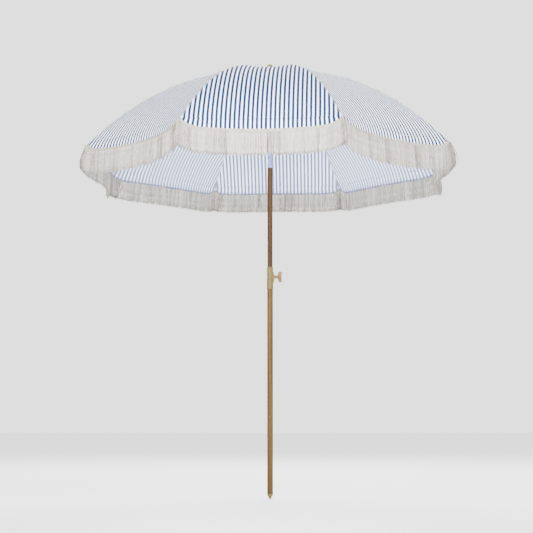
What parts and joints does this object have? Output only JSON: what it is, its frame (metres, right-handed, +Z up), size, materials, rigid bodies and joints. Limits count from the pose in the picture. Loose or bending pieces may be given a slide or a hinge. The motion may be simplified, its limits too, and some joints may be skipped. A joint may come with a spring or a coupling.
{
  "type": "beach umbrella",
  "caption": "Fringed beach umbrella with striped cloth gores on folding ribs, a tilt joint, and a telescoping two-piece pole with a clamp screw and a ground spike.",
  "frame": {"origin": "the point of the ground spike, on the pole's axis", "axes": "+Z up along the pole to the finial, +X towards the clamp knob, -Y square to one gore"},
  "size_m": [1.6786, 1.6786, 2.13],
  "materials": {
    "lower_pole": "light brown wood-look print on steel tube",
    "upper_pole": "brown wood-look print on steel tube",
    "beige_plastic": "beige moulded plastic",
    "coupler_plastic": "beige moulded plastic",
    "knob_plastic": "beige moulded plastic",
    "black_plastic": "black moulded plastic",
    "white_plastic": "white moulded plastic",
    "steel": "zinc plated",
    "brass": "turned brass",
    "tilt_metal": "galvanised steel",
    "finial_wood": "lacquered wood",
    "rib_paint": "pale grey powder coat",
    "rib_metal": "zinc plated",
    "white_cloth": "white woven polyester",
    "canopy_cloth": "white woven cloth with narrow blue stripes",
    "fringe_cord": "cream twisted cords on a braid"
  },
  "bodies": {
    "lower_pole": {"lower_pole": "lower_pole", "ground_spike": "beige_plastic", "pole_coupler": "coupler_plastic", "screw_insert": "brass"},
    "clamp_screw": {"clamp_screw": "steel", "clamp_knob": "knob_plastic"},
    "slide_bush": {"slide_bush": "black_plastic"},
    "upper_pole": {"upper_pole": "upper_pole", "tilt_bracket": "tilt_metal", "tilt_rivet": "steel"},
    "tilt_button": {"tilt_button": "steel"},
    "mast": {"tilt_tongue": "tilt_metal", "mast_tube": "upper_pole", "crown_hub": "white_plastic", "crown_wire": "steel", "crown_cap": "white_cloth", "finial": "finial_wood"},
    "runner_catch": {"runner_catch": "steel"},
    "runner": {"runner": "white_plastic"},
    "rib_1": {"rib_1": "rib_paint", "rib_fittings_1": "rib_metal"},
    "strut_1": {"strut_1": "rib_paint"},
    "rib_2": {"rib_2": "rib_paint", "rib_fittings_2": "rib_metal"},
    "strut_2": {"strut_2": "rib_paint"},
    "rib_3": {"rib_3": "rib_paint", "rib_fittings_3": "rib_metal"},
    "strut_3": {"strut_3": "rib_paint"},
    "rib_4": {"rib_4": "rib_paint", "rib_fittings_4": "rib_metal"},
    "strut_4": {"strut_4": "rib_paint"},
    "rib_5": {"rib_5": "rib_paint", "rib_fittings_5": "rib_metal"},
    "strut_5": {"strut_5": "rib_paint"},
    "rib_6": {"rib_6": "rib_paint", "rib_fittings_6": "rib_metal"},
    "strut_6": {"strut_6": "rib_paint"},
    "rib_7": {"rib_7": "rib_paint", "rib_fittings_7": "rib_metal"},
    "strut_7": {"strut_7": "rib_paint"},
    "rib_8": {"rib_8": "rib_paint", "rib_fittings_8": "rib_metal"},
    "strut_8": {"strut_8": "rib_paint"},
    "canopy_panel_1": {"canopy_panel_1": "canopy_cloth"},
    "fringe_1": {"fringe_1": "fringe_cord"},
    "canopy_panel_2": {"canopy_panel_2": "canopy_cloth"},
    "fringe_2": {"fringe_2": "fringe_cord"},
    "canopy_panel_3": {"canopy_panel_3": "canopy_cloth"},
    "fringe_3": {"fringe_3": "fringe_cord"},
    "canopy_panel_4": {"canopy_panel_4": "canopy_cloth"},
    "fringe_4": {"fringe_4": "fringe_cord"},
    "canopy_panel_5": {"canopy_panel_5": "canopy_cloth"},
    "fringe_5": {"fringe_5": "fringe_cord"},
    "canopy_panel_6": {"canopy_panel_6": "canopy_cloth"},
    "fringe_6": {"fringe_6": "fringe_cord"},
    "canopy_panel_7": {"canopy_panel_7": "canopy_cloth"},
    "fringe_7": {"fringe_7": "fringe_cord"},
    "canopy_panel_8": {"canopy_panel_8": "canopy_cloth"},
    "fringe_8": {"fringe_8": "fringe_cord"}
  },
  "joints": [
    {"name": "clamp_turn", "type": "hinge", "parent": "lower_pole", "child": "clamp_screw", "pos_m": [0.04, 0, 1.067], "axis": [1, 0, 0], "range_deg": [0, 540]},
    {"name": "pole_slide", "type": "slide", "parent": "lower_pole", "child": "slide_bush", "axis": [0, 0, -1], "range_m": [0, 0.46]},
    {"name": "pole_swivel", "type": "hinge", "parent": "slide_bush", "child": "upper_pole", "pos_m": [0, 0, 0.8], "axis": [0, 0, 1], "continuous": true},
    {"name": "tilt_button_press", "type": "slide", "parent": "upper_pole", "child": "tilt_button", "axis": [0, 1, 0], "range_m": [0, 0.0018], "stiffness_N_per_m": 300},
    {"name": "canopy_tilt", "type": "hinge", "parent": "upper_pole", "child": "mast", "pos_m": [-0.0065, 0, 1.655], "axis": [0, -1, 0], "range_deg": [0, 35]},
    {"name": "catch_press", "type": "slide", "parent": "mast", "child": "runner_catch", "axis": [-1, 0, 0], "range_m": [0, 0.0045], "stiffness_N_per_m": 400},
    {"name": "canopy_fold", "type": "hinge", "parent": "mast", "child": "rib_1", "pos_m": [0.00918, -0.02217, 2.078], "axis": [-0.9239, -0.3827, 0], "range_deg": [-62, 0], "deforming": ["canopy_panel_1", "fringe_1", "canopy_panel_2", "fringe_2", "canopy_panel_3", "fringe_3", "canopy_panel_4", "fringe_4", "canopy_panel_5", "fringe_5", "canopy_panel_6", "fringe_6", "canopy_panel_7", "fringe_7", "canopy_panel_8", "fringe_8", "runner_catch"]},
    {"name": "strut_1_fold", "type": "hinge", "parent": "rib_1", "child": "strut_1", "pos_m": [0.14925, -0.36031, 2.00331], "axis": [-0.9239, -0.3827, 0], "range_deg": [0, 113.8]},
    {"name": "rib_2_fold", "type": "hinge", "parent": "mast", "child": "rib_2", "pos_m": [0.02217, -0.00918, 2.078], "axis": [-0.3827, -0.9239, 0], "range_deg": [-62, 0]},
    {"name": "strut_2_fold", "type": "hinge", "parent": "rib_2", "child": "strut_2", "pos_m": [0.36031, -0.14925, 2.00331], "axis": [-0.3827, -0.9239, 0], "range_deg": [0, 113.8]},
    {"name": "rib_3_fold", "type": "hinge", "parent": "mast", "child": "rib_3", "pos_m": [0.02217, 0.00918, 2.078], "axis": [0.3827, -0.9239, 0], "range_deg": [-62, 0]},
    {"name": "strut_3_fold", "type": "hinge", "parent": "rib_3", "child": "strut_3", "pos_m": [0.36031, 0.14925, 2.00331], "axis": [0.3827, -0.9239, 0], "range_deg": [0, 113.8]},
    {"name": "rib_4_fold", "type": "hinge", "parent": "mast", "child": "rib_4", "pos_m": [0.00918, 0.02217, 2.078], "axis": [0.9239, -0.3827, 0], "range_deg": [-62, 0]},
    {"name": "strut_4_fold", "type": "hinge", "parent": "rib_4", "child": "strut_4", "pos_m": [0.14925, 0.36031, 2.00331], "axis": [0.9239, -0.3827, 0], "range_deg": [0, 113.8]},
    {"name": "rib_5_fold", "type": "hinge", "parent": "mast", "child": "rib_5", "pos_m": [-0.00918, 0.02217, 2.078], "axis": [0.9239, 0.3827, 0], "range_deg": [-62, 0]},
    {"name": "strut_5_fold", "type": "hinge", "parent": "rib_5", "child": "strut_5", "pos_m": [-0.14925, 0.36031, 2.00331], "axis": [0.9239, 0.3827, 0], "range_deg": [0, 113.8]},
    {"name": "rib_6_fold", "type": "hinge", "parent": "mast", "child": "rib_6", "pos_m": [-0.02217, 0.00918, 2.078], "axis": [0.3827, 0.9239, 0], "range_deg": [-62, 0]},
    {"name": "strut_6_fold", "type": "hinge", "parent": "rib_6", "child": "strut_6", "pos_m": [-0.36031, 0.14925, 2.00331], "axis": [0.3827, 0.9239, 0], "range_deg": [0, 113.8]},
    {"name": "rib_7_fold", "type": "hinge", "parent": "mast", "child": "rib_7", "pos_m": [-0.02217, -0.00918, 2.078], "axis": [-0.3827, 0.9239, 0], "range_deg": [-62, 0]},
    {"name": "strut_7_fold", "type": "hinge", "parent": "rib_7", "child": "strut_7", "pos_m": [-0.36031, -0.14925, 2.00331], "axis": [-0.3827, 0.9239, 0], "range_deg": [0, 113.8]},
    {"name": "rib_8_fold", "type": "hinge", "parent": "mast", "child": "rib_8", "pos_m": [-0.00918, -0.02217, 2.078], "axis": [-0.9239, 0.3827, 0], "range_deg": [-62, 0]},
    {"name": "strut_8_fold", "type": "hinge", "parent": "rib_8", "child": "strut_8", "pos_m": [-0.14925, -0.36031, 2.00331], "axis": [-0.9239, 0.3827, 0], "range_deg": [0, 113.8]},
    {"name": "runner_slide", "type": "slide", "parent": "mast", "child": "runner", "axis": [0, 0, 1], "range_m": [-0.5127, 0]},
    {"name": "panel_1_fold", "type": "hinge", "parent": "mast", "child": "canopy_panel_1", "pos_m": [0.01697, -0.01697, 2.078], "axis": [-0.7071, -0.7071, 0], "range_deg": [-62, 0]},
    {"name": "fringe_1_hang", "type": "hinge", "parent": "canopy_panel_1", "child": "fringe_1", "pos_m": [0.56922, -0.56922, 1.665], "axis": [-0.7071, -0.7071, 0], "range_deg": [0, 62]},
    {"name": "panel_2_fold", "type": "hinge", "parent": "mast", "child": "canopy_panel_2", "pos_m": [0.024, 0, 2.078], "axis": [0, -1, 0], "range_deg": [-62, 0]},
    {"name": "fringe_2_hang", "type": "hinge", "parent": "canopy_panel_2", "child": "fringe_2", "pos_m": [0.805, 0, 1.665], "axis": [0, -1, 0], "range_deg": [0, 62]},
    {"name": "panel_3_fold", "type": "hinge", "parent": "mast", "child": "canopy_panel_3", "pos_m": [0.01697, 0.01697, 2.078], "axis": [0.7071, -0.7071, 0], "range_deg": [-62, 0]},
    {"name": "fringe_3_hang", "type": "hinge", "parent": "canopy_panel_3", "child": "fringe_3", "pos_m": [0.56922, 0.56922, 1.665], "axis": [0.7071, -0.7071, 0], "range_deg": [0, 62]},
    {"name": "panel_4_fold", "type": "hinge", "parent": "mast", "child": "canopy_panel_4", "pos_m": [0, 0.024, 2.078], "axis": [1, 0, 0], "range_deg": [-62, 0]},
    {"name": "fringe_4_hang", "type": "hinge", "parent": "canopy_panel_4", "child": "fringe_4", "pos_m": [0, 0.805, 1.665], "axis": [1, 0, 0], "range_deg": [0, 62]},
    {"name": "panel_5_fold", "type": "hinge", "parent": "mast", "child": "canopy_panel_5", "pos_m": [-0.01697, 0.01697, 2.078], "axis": [0.7071, 0.7071, 0], "range_deg": [-62, 0]},
    {"name": "fringe_5_hang", "type": "hinge", "parent": "canopy_panel_5", "child": "fringe_5", "pos_m": [-0.56922, 0.56922, 1.665], "axis": [0.7071, 0.7071, 0], "range_deg": [0, 62]},
    {"name": "panel_6_fold", "type": "hinge", "parent": "mast", "child": "canopy_panel_6", "pos_m": [-0.024, 0, 2.078], "axis": [0, 1, 0], "range_deg": [-62, 0]},
    {"name": "fringe_6_hang", "type": "hinge", "parent": "canopy_panel_6", "child": "fringe_6", "pos_m": [-0.805, 0, 1.665], "axis": [0, 1, 0], "range_deg": [0, 62]},
    {"name": "panel_7_fold", "type": "hinge", "parent": "mast", "child": "canopy_panel_7", "pos_m": [-0.01697, -0.01697, 2.078], "axis": [-0.7071, 0.7071, 0], "range_deg": [-62, 0]},
    {"name": "fringe_7_hang", "type": "hinge", "parent": "canopy_panel_7", "child": "fringe_7", "pos_m": [-0.56922, -0.56922, 1.665], "axis": [-0.7071, 0.7071, 0], "range_deg": [0, 62]},
    {"name": "panel_8_fold", "type": "hinge", "parent": "mast", "child": "canopy_panel_8", "pos_m": [0, -0.024, 2.078], "axis": [-1, 0, 0], "range_deg": [-62, 0]},
    {"name": "fringe_8_hang", "type": "hinge", "parent": "canopy_panel_8", "child": "fringe_8", "pos_m": [0, -0.805, 1.665], "axis": [-1, 0, 0], "range_deg": [0, 62]}
  ],
  "couplings": [
    {"joint": "strut_1_fold", "follows": "canopy_fold", "ratio": -1.8354},
    {"joint": "rib_2_fold", "follows": "canopy_fold", "ratio": 1},
    {"joint": "strut_2_fold", "follows": "canopy_fold", "ratio": -1.8354},
    {"joint": "rib_3_fold", "follows": "canopy_fold", "ratio": 1},
    {"joint": "strut_3_fold", "follows": "canopy_fold", "ratio": -1.8354},
    {"joint": "rib_4_fold", "follows": "canopy_fold", "ratio": 1},
    {"joint": "strut_4_fold", "follows": "canopy_fold", "ratio": -1.8354},
    {"joint": "rib_5_fold", "follows": "canopy_fold", "ratio": 1},
    {"joint": "strut_5_fold", "follows": "canopy_fold", "ratio": -1.8354},
    {"joint": "rib_6_fold", "follows": "canopy_fold", "ratio": 1},
    {"joint": "strut_6_fold", "follows": "canopy_fold", "ratio": -1.8354},
    {"joint": "rib_7_fold", "follows": "canopy_fold", "ratio": 1},
    {"joint": "strut_7_fold", "follows": "canopy_fold", "ratio": -1.8354},
    {"joint": "rib_8_fold", "follows": "canopy_fold", "ratio": 1},
    {"joint": "strut_8_fold", "follows": "canopy_fold", "ratio": -1.8354},
    {"joint": "runner_slide", "follows": "canopy_fold", "m_per_rad": 0.47376},
    {"joint": "panel_1_fold", "follows": "canopy_fold", "ratio": 1},
    {"joint": "fringe_1_hang", "follows": "canopy_fold", "ratio": -1},
    {"joint": "panel_2_fold", "follows": "canopy_fold", "ratio": 1},
    {"joint": "fringe_2_hang", "follows": "canopy_fold", "ratio": -1},
    {"joint": "panel_3_fold", "follows": "canopy_fold", "ratio": 1},
    {"joint": "fringe_3_hang", "follows": "canopy_fold", "ratio": -1},
    {"joint": "panel_4_fold", "follows": "canopy_fold", "ratio": 1},
    {"joint": "fringe_4_hang", "follows": "canopy_fold", "ratio": -1},
    {"joint": "panel_5_fold", "follows": "canopy_fold", "ratio": 1},
    {"joint": "fringe_5_hang", "follows": "canopy_fold", "ratio": -1},
    {"joint": "panel_6_fold", "follows": "canopy_fold", "ratio": 1},
    {"joint": "fringe_6_hang", "follows": "canopy_fold", "ratio": -1},
    {"joint": "panel_7_fold", "follows": "canopy_fold", "ratio": 1},
    {"joint": "fringe_7_hang", "follows": "canopy_fold", "ratio": -1},
    {"joint": "panel_8_fold", "follows": "canopy_fold", "ratio": 1},
    {"joint": "fringe_8_hang", "follows": "canopy_fold", "ratio": -1}
  ]
}
